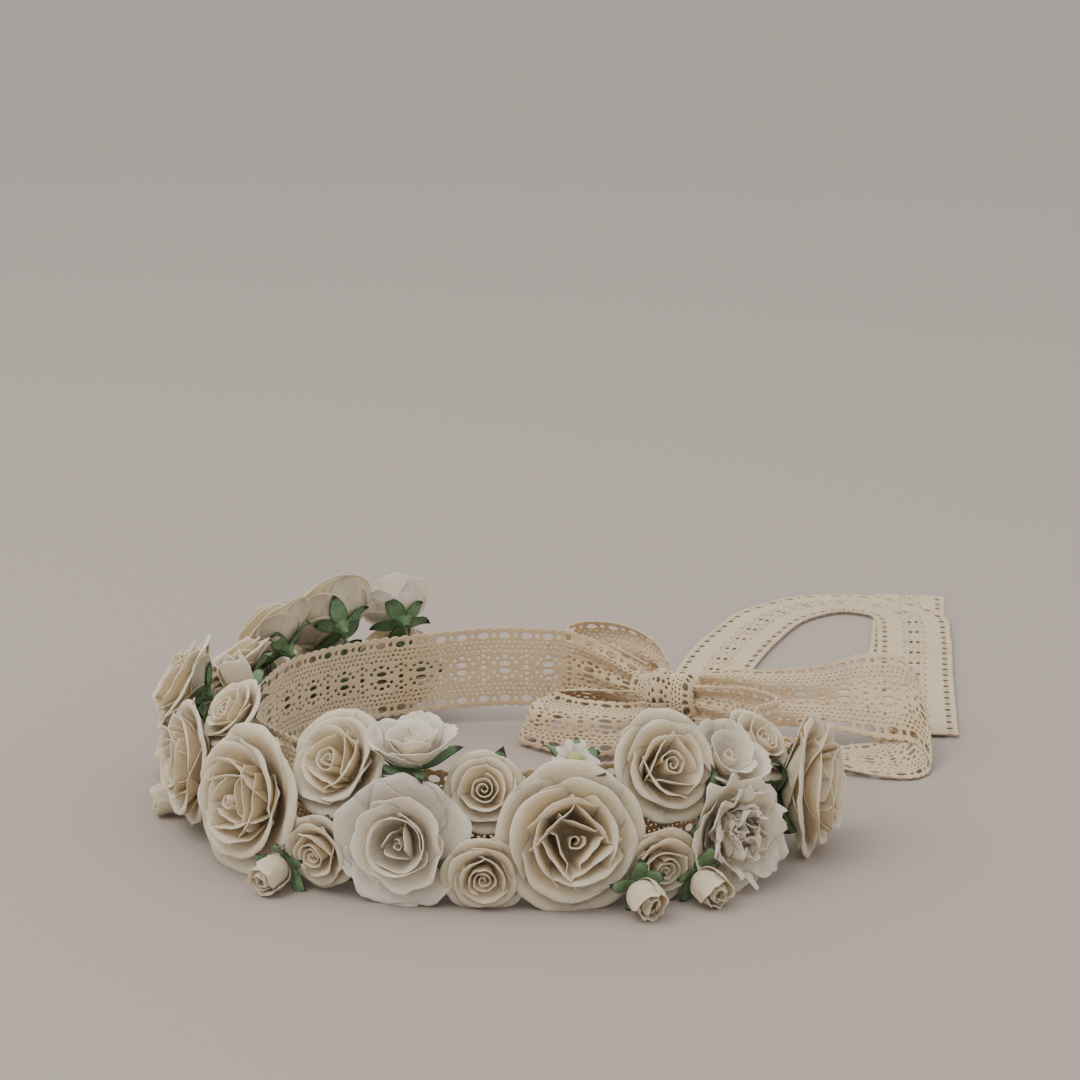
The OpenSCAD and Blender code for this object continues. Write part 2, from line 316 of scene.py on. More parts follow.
def lace_material():
    """Ecru cotton threads: a diagonal mesh of fine twisted threads between the worked holes."""
    material, tree, shader = new_material("lace")
    along, across = attribute(tree, "along"), attribute(tree, "across")

    def threads(slope, pitch):
        """Bands that run diagonally over the ribbon, from 0 between threads to 1 on them."""
        line = math_node(tree, "ADD", along, math_node(tree, "MULTIPLY", across, slope))
        wave = math_node(tree, "SINE", math_node(tree, "MULTIPLY", line, 2 * math.pi / pitch))
        return math_node(tree, "ADD", math_node(tree, "MULTIPLY", wave, 0.5), 0.5)

    mesh = math_node(tree, "MAXIMUM", threads(0.62, 1.0), threads(-0.62, 1.0))
    mesh = math_node(tree, "MULTIPLY", mesh, math_node(tree, "ADD", noise(tree, 1500, 2), 0.45))
    # painted shade: the colour is darker between the threads, standing for the gaps in the thread mesh
    tone = ramp(tree, mesh, [(0.25, (0.56, 0.405, 0.245)), (0.75, (0.78, 0.635, 0.44))])
    patch = ramp(tree, noise(tree, 60, 3), [(0.3, (0.88, 0.84, 0.78)), (0.7, (1, 1, 1))])
    tree.links.new(mixed(tree, 1.0, tone, patch, "MULTIPLY"), shader.inputs["Base Color"])
    shader.inputs["Roughness"].default_value = 0.85
    shader.inputs["Specular IOR Level"].default_value = 0.2
    shader.inputs["Sheen Weight"].default_value = 0.25
    shader.inputs["Sheen Roughness"].default_value = 0.6
    shader.inputs["Subsurface Weight"].default_value = 0.3
    shader.inputs["Subsurface Radius"].default_value = (1.0, 0.6, 0.3)
    shader.inputs["Subsurface Scale"].default_value = 0.002
    weave = bumped(tree, shader, mesh, 0.0003, 0.6)
    bumped(tree, shader, noise(tree, 4000, 3), 0.0001, 0.6, weave)
    return material


LACE = lace_material()


# --- Flowers, made along +Z with the base at the origin; sizes are parts of the diameter ---

def profile(foot, length, turns):
    """A petal's middle line from its foot, as points of radius and height. Each turn is (how far
    along, the angle there above the horizontal)."""
    v = np.linspace(0, 1, 200)
    angle = np.radians(np.interp(v, [t[0] for t in turns], [t[1] for t in turns]))
    step = length / (len(v) - 1)
    return (foot[0] + np.concatenate([[0], np.cumsum(np.cos(angle[1:]) * step)]),
            foot[1] + np.concatenate([[0], np.cumsum(np.sin(angle[1:]) * step)]))


def spread(count, tight=0.03):
    """Values from 0 to 1, with one extra close to each end so that an edge stays crisp."""
    return np.concatenate([[0, tight], np.linspace(0, 1, count)[1:-1], [1 - tight, 1]])


def petal(shape, rng, size, at, foot, length, width, turns, flat=0.0, lean=0.02, drop=0.25,
          crumple=0.012, ruffle=0.0, pleat=0.0, roll=0.0, teeth=0, tone=0.0, thick=0.3, fine=1.0):
    """One petal. at is the angle round the flower, flat turns its round wrap into a straight fold,
    lean lifts one side over the next petal, drop rounds its outline off at the sides, roll curls
    its side edges back, and pleat folds it along its length."""
    nu, nv = int(17 * fine), int(15 * fine)
    u = (spread(nu, 0.015) * 2 - 1)[:, None]
    v = spread(nv, 0.015)[None, :]
    outline = 1 - drop * np.abs(u) ** 2.6
    if teeth:
        outline = outline * (1 - 0.05 * np.abs((u * teeth) % 2 - 1))
    if ruffle:
        outline = outline * (1 + 0.4 * ruffle * np.sin(u * 7 + rng.uniform(0, 6)))
    r_line, z_line = profile(foot, length, turns)
    where = v * outline
    r = np.interp(where, np.linspace(0, 1, len(r_line)), r_line)
    z = np.interp(where, np.linspace(0, 1, len(z_line)), z_line)
    half = width / 2 * (0.3 + 0.7 * np.sin(np.clip(v / 0.65, 0, 1) * math.pi / 2))
    wrap = np.minimum(half / np.maximum(r, 0.02), 2.2) * u
    r = r + lean * u + 0.035 * np.clip(np.abs(u) - 0.75, 0, 1) / 0.25 * v ** 2
    z = z - 0.05 * roll * smooth(0.7, 1.0, np.abs(u)) * v ** 2
    r = r + pleat * v * np.sin(u * 9 + rng.uniform(0, 6))
    round_x, round_y = r * np.cos(wrap), r * np.sin(wrap)
    x = round_x * (1 - flat) + (r + 0 * u) * flat
    y = round_y * (1 - flat) + half * u * flat
    wave = ruffle * v ** 3 * np.sin(u * rng.uniform(6, 10) + rng.uniform(0, 6))
    x, z = x + wave, z + 0.6 * wave
    c, s = math.cos(at), math.sin(at)
    grid = np.stack([x * c - y * s, x * s + y * c, z + 0 * x], -1) * size
    amount = crumple * size * (0.25 + 0.75 * v) ** 1.5
    for axis in range(3):
        coarse = amount * wobble(rng, grid, 0.30 * size)
        grid[..., axis] += coarse + 0.45 * amount * wobble(rng, grid, 0.11 * size)
    points, quads = thin_solid(grid, thick)
    # painted shade and highlight: darker towards the petal's foot and with tone, partly tan paper and partly
    # painted shade; paler along the rims as a painted highlight
    edge = np.maximum(smooth(0.86, 1.0, v), smooth(0.9, 1.0, np.abs(u)) * v)
    shade = np.clip(0.30 + tone + 0.70 * (1 - v) ** 2 - 0.4 * edge, 0, 1)
    shape.add(points, quads, shade=np.concatenate([(shade + 0 * x).ravel()] * 2))


def whorl(shape, rng, size, count, start, jitter=0.12, **how):
    for i in range(count):
        at = start + 2 * math.pi * i / count + rng.uniform(-jitter, jitter)
        this = dict(how)
        this["length"] = how["length"] * rng.uniform(0.94, 1.05)
        this["width"] = how["width"] * rng.uniform(0.92, 1.08)
        petal(shape, rng, size, at, **this)


def coil(shape, rng, size, inner, outer, low, high, turns, corners=0.0, tone=0.25, thick=0.3):
    """The rolled middle: a strip wound into a spiral, a little cornered where it was folded."""
    n = 80
    a = np.linspace(0, 1, n)[:, None]
    v = spread(8, 0.04)[None, :]
    angle = a * turns * 2 * math.pi + rng.uniform(0, 6)
    r = inner + (outer - inner) * a
    r = r * (1 + corners * np.abs(np.cos(angle * 2.5)) - 0.06) * (0.55 + 0.45 * v ** 0.6)
    top = high * (1 - 0.10 * (1 - a)) + 0.012 * np.sin(angle * 2)
    z = low + (top - low) * v
    grid = np.stack([r * np.cos(angle), r * np.sin(angle), z + 0 * r], -1) * size
    for axis in range(3):
        grid[..., axis] += 0.006 * size * wobble(rng, grid, 0.12 * size)
    points, quads = thin_solid(grid, thick)
    # painted shade: darker towards the coil's foot, partly tan paper and partly painted shade, and paler at
    # its top edge as a painted highlight
    shade = np.clip(tone + 0.5 * (1 - v) - 0.35 * smooth(0.85, 1, v), 0, 1)
    shape.add(points, quads, shade=np.concatenate([(shade + 0 * r).ravel()] * 2))


def heart(shape, size):
    """A shallow cup under a flower's middle, so that the green behind it does not show."""
    a = np.linspace(0, 2 * math.pi, 13)[:, None]
    h = np.linspace(0, 1, 5)[None, :]
    grid = np.stack([0.18 * h * np.cos(a), 0.18 * h * np.sin(a), 0.05 + 0.08 * h * h + 0 * a], -1) * size
    points, quads = thin_solid(grid, 0.3)
    # painted shade: the cup takes a dark value near the far end of the paper's ramp, partly tan and partly
    # painted shade in the flower's middle
    shape.add(points, quads, shade=0.8)


def rose(rng, size, rings, middle, fine=1.0):
    """Broad smooth outer petals round straight folded ones; rings counts the petals from the
    outside in, and middle is the rolled centre's radius and number of turns."""
    shape = Shape()
    start = rng.uniform(0, 6)
    # tone darkens the inner rings: partly their tan paper, partly painted shade inside the flower
    kinds = (
        dict(foot=(0.05, 0.0), length=0.565, width=0.98, drop=0.17, crumple=0.007, roll=1.0,
             turns=[(0, 12), (0.5, 38), (0.84, 30), (0.94, -15), (1, -75)]),
        dict(foot=(0.05, 0.02), length=0.52, width=0.80, drop=0.18, crumple=0.007, roll=0.8,
             turns=[(0, 24), (0.5, 50), (0.86, 48), (0.95, 5), (1, -55)]),
        dict(foot=(0.05, 0.03), length=0.47, width=0.62, drop=0.16, crumple=0.008, flat=0.35, tone=0.05,
             turns=[(0, 34), (0.4, 64), (0.88, 72), (0.96, 40), (1, -10)]),
        dict(foot=(0.045, 0.04), length=0.425, width=0.46, drop=0.12, crumple=0.008, flat=0.85, lean=0.03,
             tone=0.10, turns=[(0, 44), (0.4, 73), (0.9, 80), (1, 50)]),
        dict(foot=(0.04, 0.05), length=0.385, width=0.30, drop=0.10, crumple=0.008, flat=0.92, lean=0.02,
             tone=0.14, turns=[(0, 56), (0.4, 82), (0.9, 86), (1, 60)]),
    )
    for ring, (kind, count) in enumerate(zip(kinds, rings)):
        if count:
            whorl(shape, rng, size, count, start + ring * 0.62, fine=fine, **kind)
    heart(shape, size)
    radius, turns = middle
    coil(shape, rng, size, 0.014, radius, 0.12, 0.42, turns, corners=0.08)
    return shape


def ruffled(rng, size):
    """A loose white flower: broad wavy petals round a smooth cup with a pointed fold in it."""
    shape = Shape()
    start = rng.uniform(0, 6)
    whorl(shape, rng, size, 5, start, foot=(0.05, 0.0), length=0.58, width=0.92, drop=0.16,
          turns=[(0, 12), (0.5, 34), (0.85, 24), (1, -20)], ruffle=0.016, crumple=0.011)
    whorl(shape, rng, size, 3, start + 0.6, foot=(0.05, 0.03), length=0.50, width=0.80, drop=0.18, tone=0.02,
          turns=[(0, 24), (0.5, 54), (0.85, 50), (1, 5)], ruffle=0.014, crumple=0.010)
    whorl(shape, rng, size, 3, start + 1.3, foot=(0.05, 0.05), length=0.43, width=0.86, drop=0.14, tone=0.03,
          turns=[(0, 38), (0.45, 62), (0.85, 86), (1, 70)], crumple=0.006)
    whorl(shape, rng, size, 3, start + 2.1, foot=(0.03, 0.06), length=0.37, width=0.30, drop=0.65, tone=0.06,
          flat=0.6, turns=[(0, 60), (0.5, 80), (1, 104)], crumple=0.012)
    coil(shape, rng, size, 0.01, 0.05, 0.1, 0.37, 1.3, corners=0.12, tone=0.12)
    heart(shape, size)
    return shape


def crumpled(rng, size):
    """A badly crushed white flower: pointed, pleated petals bunched over each other."""
    shape = Shape()
    start = rng.uniform(0, 6)
    whorl(shape, rng, size, 5, start, foot=(0.05, 0.0), length=0.60, width=0.74, drop=0.42,
          turns=[(0, 15), (0.5, 42), (0.85, 30), (1, 5)], ruffle=0.030, crumple=0.024)
    whorl(shape, rng, size, 6, start + 0.5, foot=(0.05, 0.03), length=0.53, width=0.52, drop=0.30, tone=0.02,
          turns=[(0, 30), (0.5, 58), (0.85, 52), (1, 20)], ruffle=0.035, crumple=0.030, pleat=0.020)
    whorl(shape, rng, size, 6, start + 0.2, foot=(0.05, 0.05), length=0.46, width=0.42, drop=0.25, tone=0.03,
          flat=0.3, turns=[(0, 44), (0.5, 74), (1, 100)], ruffle=0.030, crumple=0.034, pleat=0.022)
    whorl(shape, rng, size, 4, start + 0.9, foot=(0.03, 0.06), length=0.41, width=0.26, drop=0.3, tone=0.05,
          flat=0.6, turns=[(0, 62), (0.5, 86), (1, 108)], ruffle=0.020, crumple=0.030, pleat=0.015)
    heart(shape, size)
    return shape


def open_flower(rng, size):
    """A loose flower with saw-edged petals."""
    shape = Shape()
    start = rng.uniform(0, 6)
    whorl(shape, rng, size, 5, start, foot=(0.06, 0.0), length=0.68, width=0.80, drop=0.22, teeth=9,
          turns=[(0, 18), (0.5, 52), (0.85, 46), (1, 20)], crumple=0.012)
    whorl(shape, rng, size, 4, start + 0.7, foot=(0.05, 0.05), length=0.52, width=0.6, drop=0.22, teeth=7,
          turns=[(0, 35), (0.5, 64), (0.85, 66), (1, 40)], crumple=0.014, tone=0.04)
    coil(shape, rng, size, 0.02, 0.10, 0.1, 0.38, 1.5, corners=0.1, tone=0.2)
    return shape


def bud(rng, size):
    """A closed bud: petals wrapped over each other, with a crimped mouth."""
    shape = Shape()
    start = rng.uniform(0, 6)
    whorl(shape, rng, size, 3, start, foot=(0.08, 0.0), length=1.12, width=0.95, drop=0.18, lean=0.05,
          turns=[(0, 25), (0.3, 62), (0.6, 92), (0.9, 100), (1, 70)], crumple=0.02, ruffle=0.03, fine=0.8)
    whorl(shape, rng, size, 3, start + 1.0, foot=(0.07, 0.06), length=1.0, width=0.7, drop=0.18, lean=0.05,
          turns=[(0, 45), (0.3, 78), (0.6, 96), (0.9, 104), (1, 80)], crumple=0.03, ruffle=0.04, fine=0.8,
          tone=0.04, pleat=0.02)
    coil(shape, rng, size, 0.02, 0.16, 0.3, 0.86, 1.6, corners=0.15, tone=0.12, thick=0.25)
    return shape


def daisy(rng, size):
    """A small flat flower; its middle is a piece of its own."""
    shape = Shape()
    whorl(shape, rng, size, 9, 0.3, foot=(0.06, 0.03), length=0.45, width=0.26, drop=0.45, lean=0.012,
          turns=[(0, 5), (0.5, 14), (1, -8)], crumple=0.012, fine=0.7, jitter=0.05)
    return shape


def dome(radius, height, lift):
    """The daisy's round middle, in millimetres."""
    shape = Shape()
    a = np.linspace(0, 2 * math.pi, 25)[:, None]
    h = np.linspace(0, 1, 9)[None, :]
    r = radius * np.cos(h * math.pi / 2 * 0.98)
    z = lift + height * np.sin(h * math.pi / 2) + 0 * a
    points, quads = thin_solid(np.stack([r * np.cos(a), r * np.sin(a), z], -1), 0.3)
    shape.add(points, quads, shade=0.5)
    return shape


def sepals(rng, size, count=5):
    """The green cup under a head and the pointed sepals that lie on its back, curling at the tips."""
    shape = Shape()
    a = np.linspace(0, 2 * math.pi, 17)[:, None]
    h = np.linspace(0, 1, 7)[None, :]
    cup_r = 0.9 + (1.1 + 0.05 * size) * h ** 1.5
    grid = np.stack([cup_r * np.cos(a), cup_r * np.sin(a), -(2 + 0.07 * size) * (1 - h) - 0.3 + 0 * a], -1)
    points, quads = thin_solid(grid, 0.5)
    shape.add(points, quads, shade=0.2)
    start = rng.uniform(0, 6)
    for i in range(count):
        length = (0.33 * size + 6) * rng.uniform(0.7, 1.25)
        width = (0.12 * size + 3.6) * rng.uniform(0.75, 1.3)
        tip = rng.uniform(-170, 30)
        r_line, z_line = profile((1.0, -0.9), length,
                                 [(0, 8), (0.5, 30 + rng.uniform(-14, 10)), (0.7, 20), (1, tip)])
        u = (spread(7, 0.03) * 2 - 1)[:, None]
        v = spread(12, 0.02)[None, :]
        half = width / 2 * np.sin(np.clip(0.12 + 0.9 * v, 0, 1) * math.pi) ** 0.8 + 0.06
        r = np.interp(v, np.linspace(0, 1, 200), r_line) + 0 * u
        z = np.interp(v, np.linspace(0, 1, 200), z_line) - 0.10 * half * u * u
        twist = rng.uniform(-1.1, 1.1) * v ** 2
        y, z = half * u * np.cos(twist), z + half * u * np.sin(twist)
        at = start + 2 * math.pi * i / count + rng.uniform(-0.2, 0.2)
        c, s = math.cos(at), math.sin(at)
        grid = np.stack([r * c - y * s, r * s + y * c, z], -1)
        points, quads = thin_solid(grid, 0.3)
        shade = np.maximum(smooth(0.7, 1.0, np.abs(u)) * 0.7, smooth(0.72, 0.95, v)) + 0 * r
        shape.add(points, quads, shade=np.concatenate([shade.ravel()] * 2))
    return shape


# --- Planting: each flower takes its place, direction and size from its CAD head ---

def seat(node):
    """The base, the turn matrix and the diameter of a head, in millimetres. A head with lobes has
    one axis of its own, which its spread of area gives."""
    mesh = bpy.data.objects[node].data
    mesh.calc_loop_triangles()
    points = np.empty(len(mesh.vertices) * 3)
    mesh.vertices.foreach_get("co", points)
    points = points.reshape(-1, 3) / MM
    tri = np.empty(len(mesh.loop_triangles) * 3, int)
    mesh.loop_triangles.foreach_get("vertices", tri)
    corners = points[tri.reshape(-1, 3)]
    middle = corners.mean(axis=1)
    area = np.linalg.norm(np.cross(corners[:, 1] - corners[:, 0], corners[:, 2] - corners[:, 0]), axis=1)
    centre = (middle * area[:, None]).sum(axis=0) / area.sum()
    away = middle - centre
    values, vectors = np.linalg.eigh((away * area[:, None]).T @ away)
    # Two of the three spreads are equal; the axis is the odd one out
    odd = 0 if values[1] - values[0] > values[2] - values[1] else 2
    axis = vectors[:, odd]
    outward = centre - RING
    outward[2] = 0
    if axis @ (outward / np.linalg.norm(outward) + [0, 0, 0.6]) < 0:
        axis = -axis
    along = (points - centre) @ axis
    across = np.linalg.norm(points - centre - along[:, None] * axis, axis=1).max()
    side = np.cross([0, 0, 1.0], axis)
    side /= np.linalg.norm(side)
    turn = np.stack([side, np.cross(axis, side), axis], axis=1)
    return centre + along.min() * axis, turn, 2 * across


KINDS = {
    # node family: (maker, how much bigger the paper is than the CAD head, material, calyx node)
    "large_rose": (lambda g, d: rose(g, d, (5, 4, 4, 4, 3), (0.06, 1.4)), 1.12, CREAM, "large_calyxes"),
    "ruffled_rose": (ruffled, 1.03, WHITE, "ruffled_calyx"),
    "crumpled_rose": (crumpled, 1.11, WHITE, "crumpled_calyx"),
    "rose": (lambda g, d: rose(g, d, (5, 4, 3, 3, 0), (0.13, 2.2), 0.85), 1.17, CREAM, "rose_calyxes"),
    "small_rose": (lambda g, d: rose(g, d, (4, 4, 3, 0, 0), (0.20, 2.8), 0.7), 1.28, CREAM, "small_calyxes"),
    "open_flower": (open_flower, 1.22, WHITE, "open_calyxes"),
    "rosebud": (bud, 1.12, CREAM, "bud_calyxes"),
    "daisy": (daisy, 1.05, WHITE, "daisy_calyx"),
}

SMALLER = {"large_rose_3": 0.90}  # flowers that are smaller than the rest of their kind
FACE_DEPTH = 0.3  # how far a flower is moved back for each millimetre that it outgrows its CAD head

calyxes = {}
for node in sorted(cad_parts):
    family, _, number = node.rpartition("_")
    if family not in KINDS or not number.isdigit():
        continue
    make, grow, material, calyx = KINDS[family]
    base, turn, diameter = seat(node)
    size = diameter * grow * SMALLER.get(node, 1.0)
    base = base - turn[:, 2] * FACE_DEPTH * (size - diameter)
    rng = np.random.default_rng(sum(map(ord, node)) * 7 + int(number))
    flower = Shape()
    flower.merge(make(rng, size), turn, base)
    piece = flower.piece(node + "_petals", material)
    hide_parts(node)
    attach(piece, CROWN)
    calyxes.setdefault(calyx, Shape()).merge(sepals(rng, size), turn, base)
    if family == "daisy":
        yolk = Shape()
        yolk.merge(dome(2.3, 1.6, 1.0), turn, base)
        middle = yolk.piece("daisy_middle", YOLK)
        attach(middle, CROWN)

for node, shape in calyxes.items():
    piece = shape.piece(node + "_sepals", LEAF)
    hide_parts(node)
    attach(piece, CROWN)


# --- Lace ---

PERIOD = 17.0  # mm, one repeat of the lace's pattern along the ribbon
CELLS = 34  # grid cells along one repeat
# The worked holes of one repeat: along, across, half length, half height, in millimetres. Each is
# worked on both sides of the middle line.
HOLES = [
    (0, 1.5, 2.3, 0.95),
    (0, 4.3, 1.2, 0.7), (2.9, 3.6, 0.8, 0.7), (-2.9, 3.6, 0.8, 0.7),
    (4.4, 1.9, 0.8, 0.7), (-4.4, 1.9, 0.8, 0.7),
    (8.5, 0.0, 1.2, 0.8), (8.5, 2.3, 0.8, 0.6), (6.5, 3.9, 0.7, 0.6),
    (-6.5, 3.9, 0.7, 0.6), (8.5, 4.8, 0.9, 0.6),
    (0, 12.7, 2.1, 1.3), (8.5, 12.7, 2.1, 1.3), (4.25, 12.9, 0.9, 1.0), (-4.25, 12.9, 0.9, 1.0),
]
# Three rows of small holes in the plain mesh; the tails go without them
MESH_HOLES = [(i * PERIOD / 8, 6.7 + 0.25 * math.sin(i * 2.4), 0.62, 0.46) for i in range(8)]
MESH_HOLES += [((i + 0.5) * PERIOD / 8, 8.5 + 0.25 * math.sin(i * 1.7), 0.6, 0.46) for i in range(8)]
MESH_HOLES += [(i * PERIOD / 8 + 0.3, 10.3 + 0.2 * math.sin(i * 3.1), 0.62, 0.48) for i in range(8)]


def lace_field(s, t, holes):
    """How far the point s along and t across the ribbon is inside the thread work, in mm."""
    scallop = 15.2 + 0.8 * np.abs(np.sin(math.pi * s / (PERIOD / 4))) ** 0.8
    inside = scallop - np.abs(t)
    for along, across, a, b in holes:
        ds = (s - along + PERIOD / 2) % PERIOD - PERIOD / 2
        for sign in ((1,) if across == 0 else (1, -1)):
            reach = np.sqrt((ds / a) ** 2 + ((t - sign * across) / b) ** 2)
            inside = np.minimum(inside, (reach - 1) * min(a, b))
    return inside


def lace_grid(length, phase, holes):
    """The open work of a ribbon's length, as points of s and t, with its quads. A cell in a hole is
    left out, and the corners round it are drawn onto the hole's outline."""
    cell = PERIOD / CELLS
    n, m = max(2, round(length / cell)), 64
    s = np.linspace(0, length, n + 1)[:, None] + 0 * np.arange(m + 1)[None, :]
    t = np.linspace(-HALF_W, HALF_W, m + 1)[None, :] + 0 * s
    centre_s, centre_t = (s[:-1, :-1] + s[1:, 1:]) / 2, (t[:-1, :-1] + t[1:, 1:]) / 2
    kept = lace_field(centre_s + phase, centre_t, holes) > 0
    value = lace_field(s + phase, t, holes)
    d = 0.05
    ds = (lace_field(s + phase + d, t, holes) - lace_field(s + phase - d, t, holes)) / (2 * d)
    dt = (lace_field(s + phase, t + d, holes) - lace_field(s + phase, t - d, holes)) / (2 * d)
    steep = ds * ds + dt * dt + 0.05
    pad = np.pad(kept, 1)
    around = pad[:-1, :-1].astype(int) + pad[1:, :-1] + pad[:-1, 1:] + pad[1:, 1:]
    edge = (around > 0) & (around < 4)
    ends = np.zeros_like(edge)
    ends[0], ends[-1] = True, True
    move = np.where(edge, 1.0, 0.0)
    most = 0.42 * cell
    s = s - np.where(ends, 0, move) * np.clip(value * ds / steep, -most, most)
    t = t - move * np.clip(value * dt / steep, -most, most)
    index = np.arange((n + 1) * (m + 1)).reshape(n + 1, m + 1)
    quads = np.stack([index[:-1, :-1], index[1:, :-1], index[1:, 1:], index[:-1, 1:]], -1)[kept]
    used, quads = np.unique(quads, return_inverse=True)
    return s.ravel()[used], t.ravel()[used], quads.reshape(-1, 4)


def lace(name, place, length, phase=0.0, holes=HOLES + MESH_HOLES, thick=0.7):
    """A length of lace laid where place(s, t) says, as a thin solid. s runs along it from 0, and t
    from -HALF_W to HALF_W across it."""
    s, t, quads = lace_grid(length, phase, holes)
    d = 0.3
    middle = place(s, t)
    normal = np.cross(place(s + d, t) - place(s - d, t), place(s, t + d) - place(s, t - d))
    normal /= np.linalg.norm(normal, axis=1, keepdims=True) + 1e-9
    n = len(s)
    sides = np.stack([quads, np.roll(quads, -1, axis=1)], -1).reshape(-1, 2)
    known = set(map(tuple, sides.tolist()))
    border = np.array([e for e in sides.tolist() if (e[1], e[0]) not in known])
    wall = np.stack([border[:, 1], border[:, 0], border[:, 0] + n, border[:, 1] + n], -1)
    shape = Shape()
    shape.add(np.concatenate([middle + normal * thick / 2, middle - normal * thick / 2]),
              np.concatenate([quads, quads[:, ::-1] + n, wall]),
              along=np.concatenate([s + phase] * 2), across=np.concatenate([t] * 2))
    piece = shape.piece(name, LACE)
    return piece


def through(points, t):
    """The point at t, from 0 to len(points) - 1, on a smooth curve through the points."""
    p = np.asarray(points, float)
    n = len(p) - 1
    i = np.minimum(np.floor(t).astype(int), n - 1)
    u = (t - i)[:, None]
    a, b, c, d = p[np.maximum(i - 1, 0)], p[i], p[i + 1], p[np.minimum(i + 2, n)]
    return (b + (c - a) * u / 2 + (2 * a - 5 * b + 4 * c - d) * u * u / 2
            + (3 * b - a - 3 * c + d) * u ** 3 / 2)


def strip(stations, seed, pleats=3, depth=1.0, puff=0.0, wave=0.5):
    """The place function of a ribbon whose middle line runs through the first vector of each
    station, with the second from there to its edge, and its length. Where the ribbon is gathered
    narrower than it is cut, the spare width stands in pleats. puff is how far, in millimetres, the
    ribbon's middle is blown out from the line between its edges."""
    t = np.linspace(0, len(stations) - 1, 60 * len(stations))
    line = through([a for a, _ in stations], t)
    half = through([b for _, b in stations], t)
    run = np.concatenate([[0], np.cumsum(np.linalg.norm(np.diff(line, axis=0), axis=1))])
    way = np.gradient(line, axis=0)
    up = np.cross(way, half)
    up /= np.linalg.norm(up, axis=1, keepdims=True)
    width = np.linalg.norm(half, axis=1)
    spare = np.clip(HALF_W / width, 1.06, 3.5) - 1.06
    fold = depth * 2 * width / pleats / math.pi * np.sqrt(spare)
    blown = puff * smooth(0, 25, run) * smooth(0, 25, run[-1] - run)
    rng = np.random.default_rng(seed)
    phases = rng.uniform(0, 6, 8)

    def place(s, u):
        def at(values):
            return np.stack([np.interp(s, run, values[:, k]) for k in range(3)], -1)
        share = u / HALF_W
        lift = np.interp(s, run, fold) * np.sin(math.pi * pleats * share + phases[0] + 0.03 * s)
        lift = lift + wave * (np.sin(s / 9 + phases[1] + share * 1.5) + np.sin(s / 23 + phases[2] - share))
        lift = lift + np.interp(s, run, blown) * (1 - share * share)
        return at(line) + at(half) * share[:, None] + at(up) * lift[:, None] + RING

    return place, run[-1]


def on_ring(angle, radius, height):
    return np.array([radius * math.cos(math.radians(angle)), radius * math.sin(math.radians(angle)), height])


BAND_FROM, BAND_TO = 80, 350
BAND_MID = BAND_LOW + HALF_W


def band_place(s, t):
    """The band inside the hoop, which waves a little inwards between the flowers."""
    angle = math.radians(BAND_FROM) + s / BAND_MIDDLE
    ease = smooth(0, 25, s) * smooth(0, 25, band_length - s)
    radius = BAND_MIDDLE - ease * (0.5 + 0.4 * np.sin(angle * 7) + 0.3 * np.sin(angle * 13 + t / 9))
    height = BAND_MID + t + ease * 0.6 * np.sin(angle * 5 + 1)
    return np.stack([radius * np.cos(angle), radius * np.sin(angle), height], -1) + RING


band_length = math.radians(BAND_TO - BAND_FROM) * BAND_MIDDLE
band = lace("lace_band_ribbon", band_place, band_length)
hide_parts("lace_band")
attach(band, CROWN)

